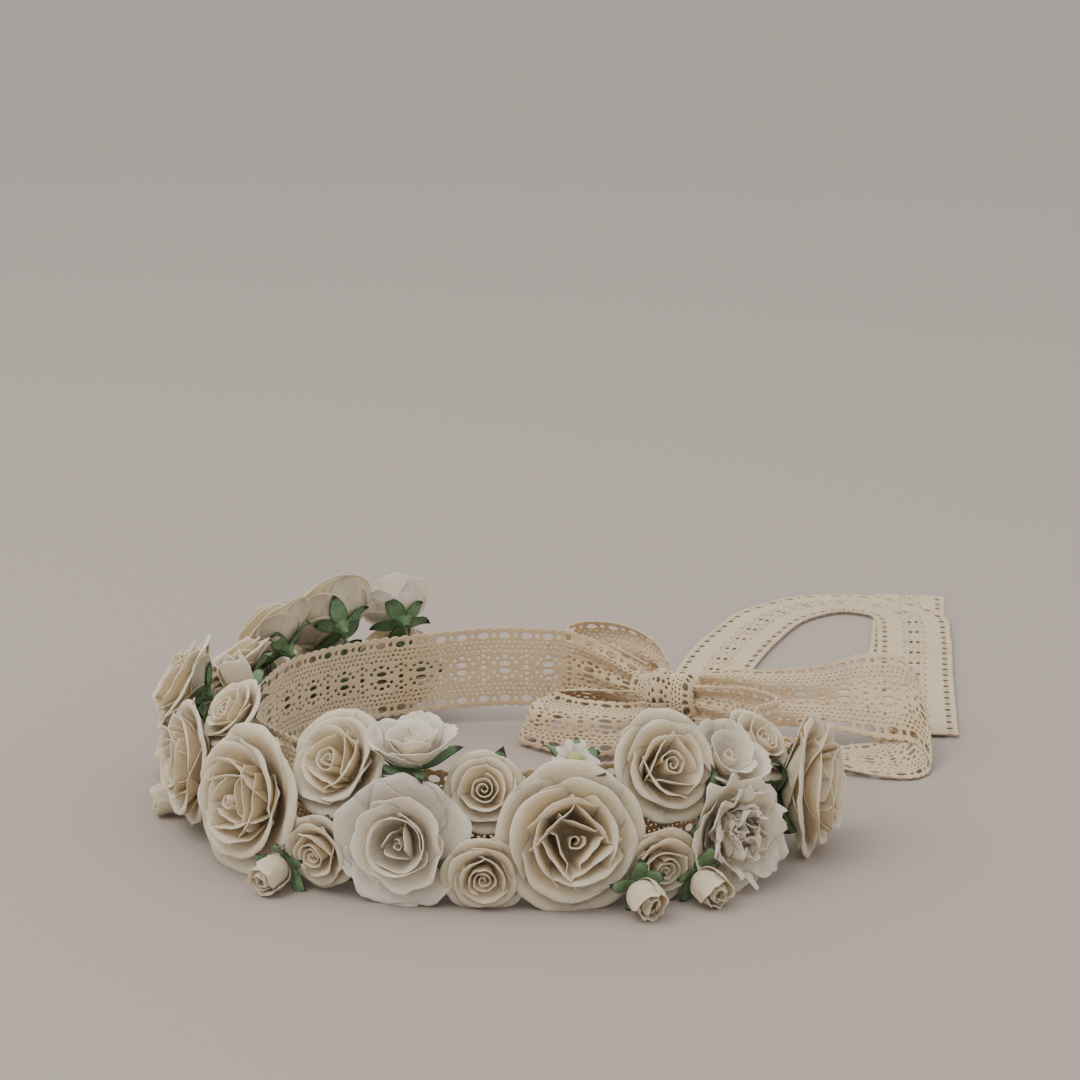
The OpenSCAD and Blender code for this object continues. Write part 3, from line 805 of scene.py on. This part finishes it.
KNOT = np.array([62.0, 67.0, 18.0])
STRIPS = {
    # node: (body, pleats and their depth, puff, where the body's own movement starts and is whole, stations
    # of middle and half-width vectors), in millimetres on the ring. Only a strip without such a start is
    # attached to its body; the others stay where they are made, and the start's points are not used.
    "left_tie": (CROWN, (3, 0.8), 0, None, [
        (on_ring(BAND_FROM, BAND_MIDDLE, BAND_MID), (0, 0, 16)),
        ((26, 87, 23), (0, 1, 15)),
        ((38, 82, 21), (1, 2, 12)),
        ((48, 76, 19), (2, 2, 8)),
        ((56, 71, 18), (2, 2, 5.4)),
    ]),
    "right_tie": (CROWN, (2, 0.6), 0, None, [
        (on_ring(BAND_TO, BAND_MIDDLE, BAND_MID), (0, 0, 16)),
        ((97, 2, 21), (0, 0, 14.4)),
        ((99, 20, 19), (0, 0, 13.6)),
        ((91, 40, 18), (0, 0, 12)),
        ((79, 54, 18), (0, 1, 8)),
        ((69, 61, 18), (1, 2, 5.4)),
    ]),
    "left_loop": ("left_loop", (2, 0.35), -5, ((56, 62, 16), (42, 58, 15)), [
        ((53, 54, 13), (0, 2, 6)),
        ((42, 48, 11), (0, 6, 8.5)),
        ((28, 50, 10.5), (1, 7.5, 9)),
        ((18, 57, 10.5), (5, 4, 9.5)),
        ((13, 63, 11), (8, -1, 9.5)),
        ((22, 69, 13), (2, -8, 7.5)),
        ((38, 68, 15), (0, -8, 6.5)),
        ((49, 66, 16), (0, -4, 5)),
    ]),
    "back_loop": ("back_loop", (2, 0.5), 1.5, ((61, 80, 22), (52, 93, 23)), [
        ((62, 80, 22), (0, 0, 6)),
        ((58, 91, 24), (0, 0, 9)),
        ((47, 102, 25), (0, 0, 12)),
        ((33, 107, 25), (0, 0, 13)),
        ((23, 103, 24), (0, 0, 13)),
        ((25, 96, 23), (0, 0, 12)),
        ((40, 91, 22), (0, 0, 10)),
        ((54, 81, 21), (0, 0, 6)),
    ]),
    "right_loop": ("right_loop", (2, 0.6), 1, ((74, 67, 16), (90, 62, 14)), [
        ((76, 65, 9), (-1, -3, 3)),
        ((92, 58, 7), (-2, -6, 3)),
        ((112, 47, 5), (-3, -11, 1)),
        ((130, 37, 3), (-1, -15, -1)),
        ((147, 36, 4), (2, -19, -2.5)),
        ((158, 47, 12), (0, -20, -10)),
        ((153, 58, 19), (1, -17, -12.5)),
        ((138, 63, 19.5), (1, -13, -13)),
        ((121, 62, 19.5), (0, -7, -11)),
        ((102, 61, 20), (-1, -5, -9.5)),
        ((84, 67, 21), (-1, -4, -7)),
        ((74, 71, 21), (-1, -3, -5)),
    ]),
}


def flat_stations(rows, height):
    """Stations of a ribbon that lies flat, from rows of x, y and half width."""
    rows = np.asarray(rows, float)
    way = np.gradient(rows[:, :2], axis=0)
    way /= np.linalg.norm(way, axis=1, keepdims=True)
    return [((x, y, height), (-w[1] * h, w[0] * h, 0)) for (x, y, h), w in zip(rows, way)]


TAIL_BEND = ((75, 80, 2), (79, 105, 2))
STRIPS["long_tail"] = ("tails", (3, 0.8), 0, TAIL_BEND, flat_stations([
    (74, 79, 7), (76, 100, 10), (81, 140, 14.5), (91, 183, 16), (104, 222, 16), (118, 253, 16),
    (140, 273, 16), (164, 271, 16), (178, 251, 16), (176, 214, 16), (168, 150, 16), (159, 72, 16),
], 1.5))
STRIPS["short_tail"] = ("tails", (3, 0.8), 0, TAIL_BEND, flat_stations([
    (80, 79, 6), (94, 92, 9), (118, 106, 13), (144, 126, 16), (161, 158, 16), (171, 200, 16),
    (184, 293, 16),
], 0.5))

for node, (body, (pleats, depth), puff, bend, stations) in STRIPS.items():
    tail = body == "tails"
    place, length = strip(stations, len(node) * 11, pleats, depth, puff, wave=0.0 if tail else 0.4)
    piece = lace(
        node + "_ribbon", place, length,
        phase=band_length if node == "right_tie" else 0.0,
        holes=HOLES if tail else HOLES + MESH_HOLES,
    )
    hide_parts(node)
    if bend is None:
        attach(piece, body)
    else:
        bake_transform(piece)


KNOT_AXIS = on_ring(155, 1, 0)  # the way that the knot lies
KNOT_SIDE = on_ring(245, 1, 0)
KNOT_R = 10.0  # mm, the knot's radius with the ribbon wrapped round it
KNOT_HALF = 13.0  # mm, half of the knot's length


def knot_place(s, t):
    """The ribbon wrapped over the knot, folded along its way round."""
    angle = s / KNOT_R
    share = t / HALF_W
    fold = 0.9 * np.sin(7 * share + 0.9 * np.sin(angle + 0.5)) + 0.5 * np.sin(angle * 2 + share * 3)
    radius = KNOT_R * np.sqrt(1 - (0.84 * share) ** 2) + fold
    return (RING + KNOT + KNOT_AXIS * (share * KNOT_HALF + 1.5 * np.sin(angle))[:, None]
            + KNOT_SIDE * (radius * np.cos(angle))[:, None]
            + np.array([0, 0, 1]) * (radius * np.sin(angle))[:, None])


knot = lace("bow_knot_wrap", knot_place, 2 * math.pi * KNOT_R)
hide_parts("bow_knot")
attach(knot, CROWN)


def bunch():
    """The ribbon bunched up tight under the knot's wrap."""
    shape = Shape()
    a = np.linspace(0, 2 * math.pi, 49)[:, None]
    h = np.linspace(-1, 1, 25)[None, :]
    r = 0.8 * KNOT_R * np.sqrt(np.maximum(1 - h * h, 0.02)) * (1 + 0.06 * np.sin(a * 7 + h * 3))
    grid = (RING + KNOT + (0.9 * KNOT_HALF * h + 0 * a)[..., None] * KNOT_AXIS
            + (r * np.cos(a))[..., None] * KNOT_SIDE
            + (r * np.sin(a))[..., None] * np.array([0, 0, 1.0]))
    points, quads = thin_solid(grid, 0.5)
    shape.add(points, quads, along=np.concatenate([(a * 7 + 0 * h).ravel()] * 2),
              across=np.concatenate([(h * 9 + 0 * a).ravel()] * 2))
    return shape


piece = bunch().piece("bow_knot_bunch", LACE)
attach(piece, CROWN)


# --- Hoop and stems ---

GARLAND_FROM, GARLAND_TO = 106, 344  # angles on the ring, in degrees
HOOP_R, HOOP_Z = 95.3, 22.0
TAPE_R = 2.15  # mm, where a turn of the tape starts
TAPE_STEP = 0.35  # mm, how much it rises before the next turn
TAPE_PITCH = 9.0  # mm of hoop to each turn


def wound_tape():
    """Tape wound round the hoop, each turn lapping over the last."""
    shape = Shape()
    arc = np.radians(np.linspace(GARLAND_FROM, GARLAND_TO, 700))
    around = np.linspace(0, 2 * math.pi, 17)[None, :]
    length_along = (arc * HOOP_R)[:, None]
    turns = (length_along / TAPE_PITCH + around / (2 * math.pi)) % 1.0
    radius = TAPE_R + TAPE_STEP * turns
    grid = np.stack([
        (HOOP_R + radius * np.cos(around)) * np.cos(arc)[:, None],
        (HOOP_R + radius * np.cos(around)) * np.sin(arc)[:, None],
        HOOP_Z + radius * np.sin(around),
    ], -1) + RING
    points, quads = thin_solid(grid, 0.25)
    shape.add(points, quads)
    return shape


piece = wound_tape().piece("stem_tape_wrap", TAPE)
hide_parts("stem_tape")
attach(piece, CROWN)
for node, material in (("core_wire", WIRE), ("flower_stems", TAPE)):
    data = bpy.data.objects[node]
    for slot in data.material_slots:
        slot.material = material


# --- Table and light ---

TABLE_REACH = 14.0  # metres, far enough for its edge to be out of sight
corners = [(x * TABLE_REACH, y * TABLE_REACH, 0) for x, y in ((-1, -1), (1, -1), (1, 1), (-1, 1))]
floor_mesh = bpy.data.meshes.new("table")
floor_mesh.from_pydata(corners, [], [(0, 1, 2, 3)])
floor = bpy.data.objects.new("table", floor_mesh)
bpy.context.scene.collection.objects.link(floor)
floor_material, tree, shader = new_material("table")
shader.inputs["Base Color"].default_value = (0.436, 0.376, 0.338, 1)
shader.inputs["Roughness"].default_value = 0.75
shader.inputs["Specular IOR Level"].default_value = 0.2
floor_mesh.materials.append(floor_material)

world = bpy.data.worlds.new("studio")
world.use_nodes = True
world.node_tree.nodes["Background"].inputs["Color"].default_value = (1.0, 0.985, 0.965, 1)
world.node_tree.nodes["Background"].inputs["Strength"].default_value = 1.0
bpy.context.scene.world = world


def area_light(name, place, aim, size, power, colour=(1, 1, 1)):
    data = bpy.data.lights.new(name, "AREA")
    data.size, data.energy, data.color = size, power, colour
    light = bpy.data.objects.new(name, data)
    bpy.context.scene.collection.objects.link(light)
    light.location = place
    x, y, z = (np.array(aim) - np.array(place))
    light.rotation_euler = (math.atan2(math.hypot(x, y), -z), 0, math.atan2(y, x) - math.pi / 2)


area_light("key", (-0.9, -0.5, 1.7), (0, 0, 0), 1.4, 17, (1.0, 0.96, 0.90))
